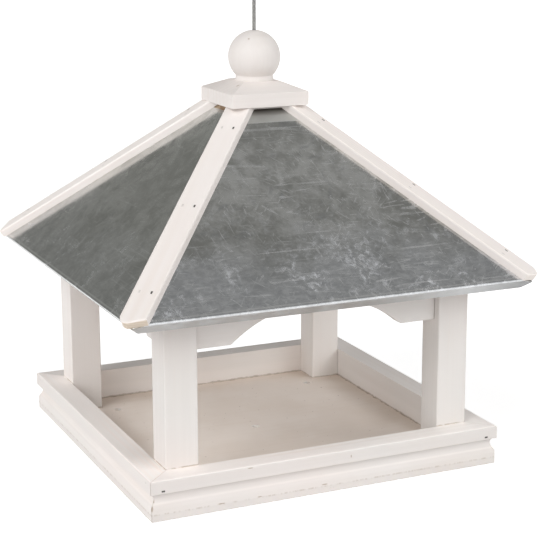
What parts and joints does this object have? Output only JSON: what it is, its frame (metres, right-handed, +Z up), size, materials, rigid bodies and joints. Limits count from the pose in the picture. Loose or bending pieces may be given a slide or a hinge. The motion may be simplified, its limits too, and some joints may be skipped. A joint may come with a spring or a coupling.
{
  "type": "hanging bird table",
  "caption": "Hanging bird table: square moulded tray, posts with arched aprons, hipped metal roof with wooden hip strips, cap and ball, hung from a wire rope.",
  "frame": {"origin": "centre of the tray's underside", "axes": "+X to the right along the front rail, +Y from the front rail to the back rail, +Z up along the wire rope"},
  "size_m": [0.3256, 0.3244, 0.4009],
  "materials": {
    "painted_wood": "thin matt white wash",
    "raw_wood": "bare sawn wood",
    "zinc_sheet": "weathered zinc coated sheet",
    "steel_nails": "dull",
    "wire_rope": "stranded wire",
    "ferrule_metal": "satin"
  },
  "bodies": {
    "house": {"floor_board": "raw_wood", "rail_front": "painted_wood", "rail_back": "painted_wood", "rail_left": "painted_wood", "rail_right": "painted_wood", "post_front_left": "painted_wood", "post_front_right": "painted_wood", "post_back_left": "painted_wood", "post_back_right": "painted_wood", "apron_front": "painted_wood", "apron_back": "painted_wood", "apron_left": "painted_wood", "apron_right": "painted_wood", "roof_sheet_front": "zinc_sheet", "roof_sheet_back": "zinc_sheet", "roof_sheet_left": "zinc_sheet", "roof_sheet_right": "zinc_sheet", "hip_batten_front_left": "painted_wood", "hip_batten_front_right": "painted_wood", "hip_batten_back_left": "painted_wood", "hip_batten_back_right": "painted_wood", "hip_rafter_front_left": "raw_wood", "hip_rafter_front_right": "raw_wood", "hip_rafter_back_left": "raw_wood", "hip_rafter_back_right": "raw_wood", "apex_block": "raw_wood", "cap_plate": "painted_wood", "ball_finial": "painted_wood", "batten_nails": "steel_nails", "rail_nails": "steel_nails", "post_screws": "steel_nails"},
    "washer": {"stop_washer": "steel_nails"},
    "rope": {"stop_ferrule": "ferrule_metal", "rope_in_bore": "wire_rope", "rope_free": "wire_rope", "loop_ferrule": "ferrule_metal", "rope_loop": "wire_rope"}
  },
  "joints": [
    {"name": "rope_slide", "type": "slide", "parent": "house", "child": "washer", "axis": [0, 0, 1], "range_m": [-0.029, 0]},
    {"name": "rope_swivel", "type": "hinge", "parent": "washer", "child": "rope", "pos_m": [0, 0, 0.2311], "axis": [0, 0, 1], "continuous": true}
  ]
}
